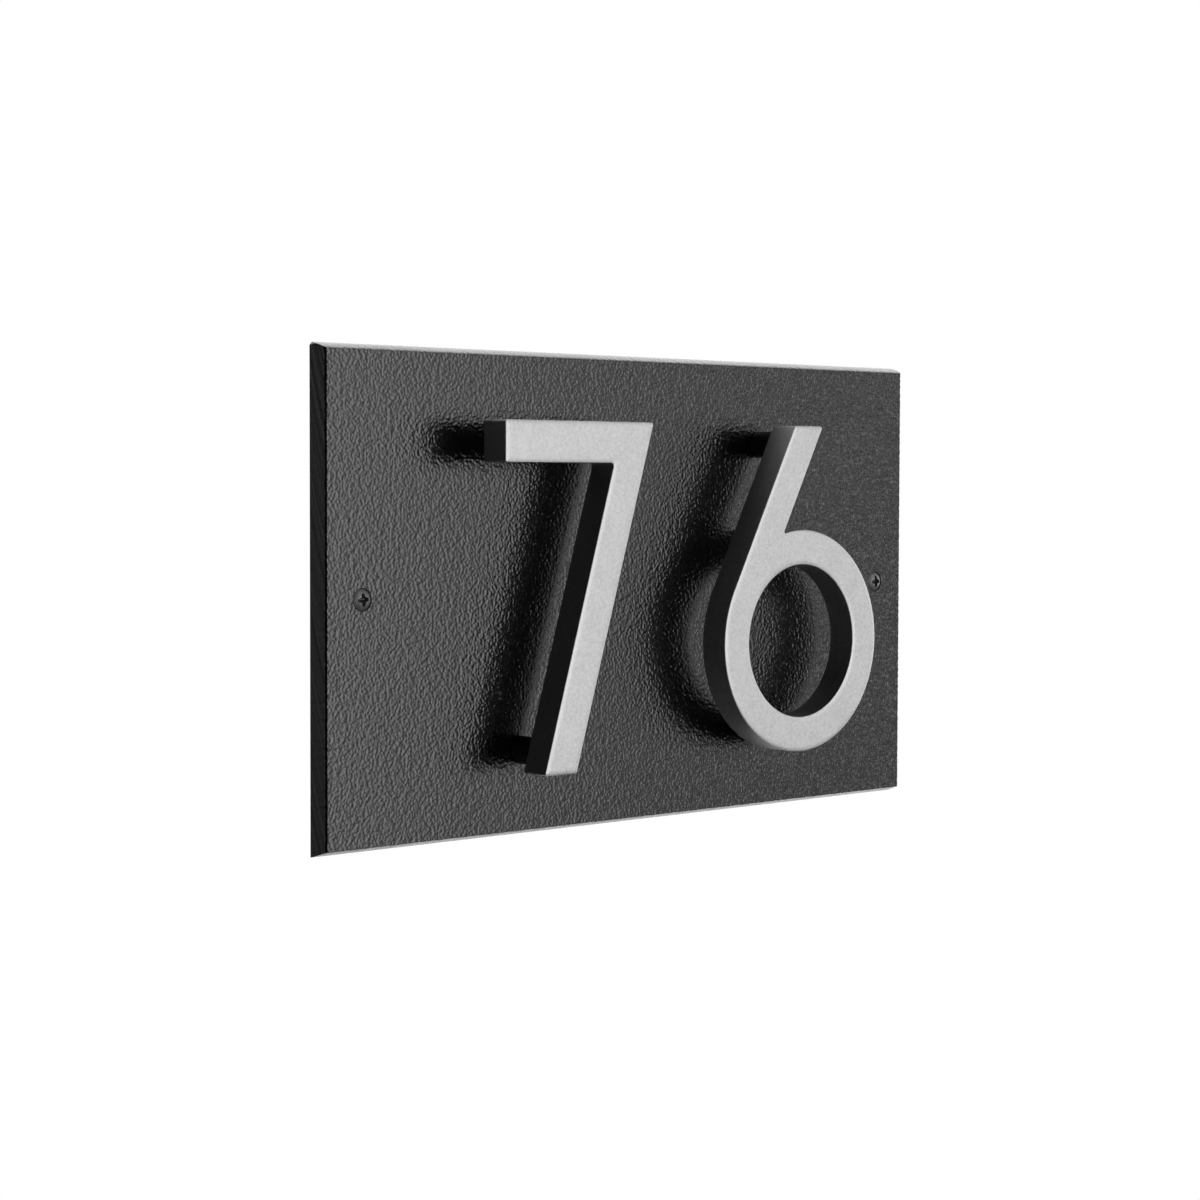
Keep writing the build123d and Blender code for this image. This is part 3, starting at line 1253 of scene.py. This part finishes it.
@dataclass
class WallScrews(Screws):
    """Two black oval-head wood screws, driven through the sheet into the wall."""

    name: str = "oval_head_wall_screws"
    node: str = "wall_screws"
    slot: Slot = Slot.BLACKED
    finishes: tuple[Finish, ...] = (BlackedSteel(),)
    sunk: float = 0.35 * MM
    dome_height: float = 1.3 * MM
    dome_steps: int = 14
    head_angle: float = 82.0
    recess_wing: float = 1.25 * MM
    shank_radius: float = 1.75 * MM
    shank_gap: float = 0.6 * MM
    thread_radius: float = 2.085 * MM
    point_length: float = 4.5 * MM
    tip_length: float = 0.1 * MM
    tip_radius: float = 0.12 * MM
    turns: tuple[float, float] = (-6.0, -4.0)

    def build(self) -> bpy.types.Object:
        """Makes both screws as one piece.

        Returns:
            The screws.
        """
        low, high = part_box(self.node)
        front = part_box("backing_panel")[0].y
        head = (high.z - low.z) / 2.0
        cone = math.tan(math.radians(self.head_angle / 2.0))
        rim = head - self.sunk * cone
        ball = (rim ** 2 + self.dome_height ** 2) / (2.0 * self.dome_height)
        reach = math.asin(rim / ball)
        cone_foot = front + (head - self.shank_radius) / cone
        crown = front + self.sunk - self.dome_height
        profile = []
        for i in range(1, self.dome_steps + 1):
            angle = reach * i / self.dome_steps
            profile.append((ball * math.sin(angle), crown + ball * (1.0 - math.cos(angle))))
        profile += [(self.shank_radius, cone_foot), (self.shank_radius, -self.shank_gap)]
        taper = 1.0 - self.point_length / high.y
        crest = [(0.0, self.thread_radius), (taper, self.thread_radius), (1.0, self.tip_radius)]
        shell, tools = Shell(), []
        for x, turn in zip((low.x + head, high.x - head), self.turns):
            axis = Vector((x, 0.0, (low.z + high.z) / 2.0))
            rings = self.spin(shell, axis, profile)
            rings += self.threaded(shell, axis, (0.0, high.y - self.tip_length), crest)
            shell.spindle(rings, ((x, crown, axis.z), (x, high.y, axis.z)))
            tools.append(self.recess(axis, crown, 1.0, turn))
        return self.driven(shell, tools)


@dataclass
class MachineScrews(Screws):
    """Four zinced pan-head screws, driven from behind into the numerals."""

    name: str = "numeral_machine_screws"
    node: str = "numeral_screws"
    slot: Slot = Slot.STEEL
    finishes: tuple[Finish, ...] = (ZincedSteel(),)
    head_radius: float = 4.0 * MM
    head_height: float = 3.1 * MM
    head_ease: float = 0.8 * MM
    ease_steps: int = 6
    shank_radius: float = 2.0 * MM
    thread_pitch: float = 0.7 * MM
    thread_depth: float = 0.38 * MM
    thread_length: float = 17.0 * MM
    thread_gap: float = 0.2 * MM
    end_share: float = 0.97
    end_narrowing: float = 0.8
    recess_span: float = 4.2 * MM
    recess_depth: float = 1.9 * MM
    segments: int = 48
    rows_per_turn: int = 8
    standoff_nodes: tuple[str, ...] = ()
    turns: tuple[float, ...] = (12.0, 51.0, -24.0, 33.0)

    def build(self) -> bpy.types.Object:
        """Makes the four screws as one piece.

        Returns:
            The screws.
        """
        low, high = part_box(self.node)
        seat = high.y - self.head_height
        shank_end = low.y + self.thread_length
        profile = eased_rim(self.head_radius, high.y, self.head_ease, self.ease_steps, -1.0)
        profile += [(self.head_radius, seat), (self.shank_radius, seat), (self.shank_radius, shank_end)]
        crest = [(0.0, self.shank_radius), (self.end_share, self.shank_radius),
                 (1.0, self.end_narrowing * self.shank_radius)]
        shell, tools = Shell(), []
        for node, turn in zip(self.standoff_nodes, self.turns):
            near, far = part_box(node)
            axis = (near + far) / 2.0
            rings = self.spin(shell, axis, profile)
            rings += self.threaded(shell, axis, (shank_end - self.thread_gap, low.y), crest)
            shell.spindle(rings, ((axis.x, high.y, axis.z), (axis.x, low.y, axis.z)))
            tools.append(self.recess(axis, high.y, -1.0, turn))
        return self.driven(shell, tools)


@dataclass(frozen=True)
class Patch:
    """Part of the surroundings between two headings and two heights, in degrees.

    Headings are from straight in front of the plaque, positive to its right; heights are from level.
    """

    name: str
    headings: Span
    heights: Span
    level: float
    edge: float

    def light(self, sheet: NodeSheet, heading: Socket, height: Socket) -> Socket:
        """Gives the brightness that the patch adds.

        Args:
            sheet: Node tree of the world.
            heading: Socket with the heading in radians.
            height: Socket with the height in radians.

        Returns:
            Socket with the brightness.
        """
        edge = math.radians(self.edge) / 2.0
        level = self.level
        for angle, limits in ((heading, self.headings), (height, self.heights)):
            first, last = (math.radians(limit) for limit in limits)
            rise = sheet.spread(angle, (first - edge, first + edge), (0.0, 1.0), smooth=True)
            fall = sheet.spread(angle, (last - edge, last + edge), (1.0, 0.0), smooth=True)
            level = sheet.math("MULTIPLY", sheet.math("MULTIPLY", rise, fall), level)
        return level


@dataclass
class Studio:
    """White studio: a softbox in front, a bright backdrop behind and a dim room to the left."""

    floor_drop: float = 1.5
    floor_reach: float = 0.5
    floor_colour: Colour = (0.86, 0.86, 0.86)
    floor_glow: float = 0.45
    mottle_pitch: float = 1.0 / 30.0
    mottle_detail: float = 4.0
    mottle_roughness: Span = (0.0, 0.3)
    white: float = 1.0
    shown_backdrop: Patch = Patch("shown_backdrop", (112.0, 165.0), (-30.0, 25.0), 1.0, 6.0)
    patches: tuple[Patch, ...] = (
        Patch("key_left", (-26.0, 2.0), (-16.0, 16.0), 1.0, 4.0),
        Patch("key_middle", (2.0, 16.0), (-16.0, 16.0), 1.94, 4.0),
        Patch("key_softbox", (16.0, 31.0), (-16.0, 16.0), 3.83, 4.0),
        Patch("key_edge", (31.0, 40.0), (-16.0, 16.0), 2.23, 5.0),
        Patch("key_top", (0.0, 38.0), (16.0, 46.0), 1.7, 6.0),
        Patch("room_front", (40.0, 62.0), (-16.0, 0.0), 0.4, 5.0),
        Patch("room_front_upper", (40.0, 62.0), (0.0, 16.0), 0.74, 5.0),
        Patch("front_low", (20.0, 62.0), (-42.0, -16.0), 0.6, 6.0),
        Patch("front_high", (38.0, 96.0), (16.0, 46.0), 0.5, 6.0),
        Patch("right_wall", (62.0, 96.0), (-16.0, 16.0), 2.32, 6.0),
        Patch("backdrop", (97.0, 195.0), (-21.0, 50.0), 2.6, 6.0),
        Patch("backdrop_foot", (97.0, 195.0), (-60.0, -21.0), 1.3, 6.0),
        Patch("left_wall", (-152.0, -116.0), (-16.0, 16.0), 0.4, 8.0),
        Patch("left_backdrop", (-195.0, -116.0), (16.0, 52.0), 0.87, 8.0),
        Patch("left_top", (-195.0, -116.0), (52.0, 100.0), 1.86, 8.0),
        Patch("left_fill", (-60.0, -26.0), (-24.0, 24.0), 0.12, 8.0),
        Patch("left_fill_low", (-60.0, -20.0), (-60.0, -24.0), 0.5, 10.0),
    )

    def lay_floor(self) -> None:
        """Lays the pale floor, white to the eye except where the plaque shades it."""
        reach, z = self.floor_reach, -self.floor_drop
        corners = [(-reach, -reach, z), (reach, -reach, z), (reach, reach, z), (-reach, reach, z)]
        mesh = bpy.data.meshes.new("studio_floor")
        mesh.from_pydata(corners, [], [(0, 1, 2, 3)])
        floor = bpy.data.objects.new("studio_floor", mesh)
        bpy.context.scene.collection.objects.link(floor)
        paint = bpy.data.materials.new("floor_paint")
        paint.use_nodes = True
        sheet = NodeSheet(paint.node_tree)
        place = sheet.add("ShaderNodeTexCoord").outputs["Object"]
        mottle = sheet.noise(place, self.mottle_pitch, self.mottle_detail)
        matt = sheet.add("ShaderNodeBsdfDiffuse", {
            "Color": (*self.floor_colour, 1.0),
            "Roughness": sheet.spread(mottle, NOISE_RANGE, self.mottle_roughness),
        })
        rays = sheet.add("ShaderNodeLightPath").outputs
        shown = sheet.math("MAXIMUM", rays["Is Camera Ray"], rays["Is Glossy Ray"])
        shown = sheet.math("MAXIMUM", shown, rays["Is Transmission Ray"])
        glow = sheet.math("MULTIPLY", shown, self.floor_glow)
        lit = sheet.add("ShaderNodeEmission", {"Color": WHITE, "Strength": glow})
        both = sheet.add("ShaderNodeAddShader", {0: matt.outputs[0], 1: lit.outputs[0]})
        sheet.add("ShaderNodeOutputMaterial", {"Surface": both.outputs[0]})
        mesh.materials.append(paint)

    def hang_world(self) -> None:
        """Hangs the surroundings: plain white to the eye, in patches to the plaque."""
        world = bpy.data.worlds.new("studio_world")
        bpy.context.scene.world = world
        world.use_nodes = True
        sheet = NodeSheet(world.node_tree)
        axes = sheet.axes(sheet.add("ShaderNodeTexCoord").outputs["Generated"])
        heading = sheet.math("ARCTAN2", axes["X"], sheet.math("MULTIPLY", axes["Y"], -1.0))
        height = sheet.math("ARCSINE", axes["Z"])
        level = 0.0
        for patch in self.patches:
            level = sheet.math("ADD", level, patch.light(sheet, heading, height))
        rays = sheet.add("ShaderNodeLightPath").outputs
        mirrored = sheet.math("MAXIMUM", rays["Is Glossy Ray"], rays["Is Transmission Ray"])
        behind = sheet.math("MULTIPLY", mirrored, self.shown_backdrop.light(sheet, heading, height))
        level = sheet.math("MAXIMUM", level, behind)
        around = sheet.add("ShaderNodeBackground", {"Color": WHITE, "Strength": level})
        plain = sheet.add("ShaderNodeBackground", {"Color": WHITE, "Strength": self.white})
        shown = sheet.add("ShaderNodeMixShader", {
            0: rays["Is Camera Ray"], 1: around.outputs[0], 2: plain.outputs[0]})
        sheet.add("ShaderNodeOutputWorld", {"Surface": shown.outputs[0]})

    def set_up(self) -> None:
        """Lays the floor, hangs the surroundings and reports their patches."""
        self.lay_floor()
        self.hang_world()
        for patch in self.patches:
            LOG.info("%s: %.2f", patch.name, patch.level)


@dataclass
class PhotoCamera:
    """Camera at the photo's place, with angles in degrees and the lens in millimetres."""

    place: Triple = (-711.36 * MM, -738.35 * MM, 41.45 * MM)
    heading: float = 43.3129
    pitch: float = -2.5459
    roll: float = 0.1524
    lens: float = 80.361
    sensor: float = 36.0
    clip: Span = (0.01, 50.0)

    def set_up(self) -> None:
        """Puts the camera in the scene."""
        heading, pitch, roll = (math.radians(angle) for angle in (self.heading, self.pitch, self.roll))
        ahead = Vector((
            math.sin(heading) * math.cos(pitch), math.cos(heading) * math.cos(pitch), math.sin(pitch)))
        right = Vector((math.cos(heading), -math.sin(heading), 0.0))
        above = right.cross(ahead)
        across = right * math.cos(roll) + above * math.sin(roll)
        upward = above * math.cos(roll) - right * math.sin(roll)
        lens = bpy.data.cameras.new("photo_camera")
        lens.lens, lens.sensor_width = self.lens, self.sensor
        lens.clip_start, lens.clip_end = self.clip
        camera = bpy.data.objects.new("photo_camera", lens)
        turning = Matrix((across, upward, -ahead)).transposed()
        camera.matrix_world = Matrix.Translation(Vector(self.place)) @ turning.to_4x4()
        bpy.context.scene.collection.objects.link(camera)
        bpy.context.scene.camera = camera


def main() -> None:
    """Builds and dresses the pieces in order, then sets up the studio and the camera."""
    logging.basicConfig(level=logging.INFO, format="%(name)s: %(message)s")
    standoffs = ("seven_upper_standoff", "seven_lower_standoff", "six_upper_standoff", "six_lower_standoff")
    EmbossedSheet(standoff_nodes=standoffs).make()
    Seven().make()
    Six().make()
    for node in standoffs:
        StandoffTube(name=node.replace("standoff", "tube"), node=node).make()
    MachineScrews(standoff_nodes=standoffs).make()
    WallScrews().make()
    Studio().set_up()
    PhotoCamera().set_up()
    bpy.context.scene.view_settings.view_transform = "Standard"


if __name__ == "__main__":
    main()
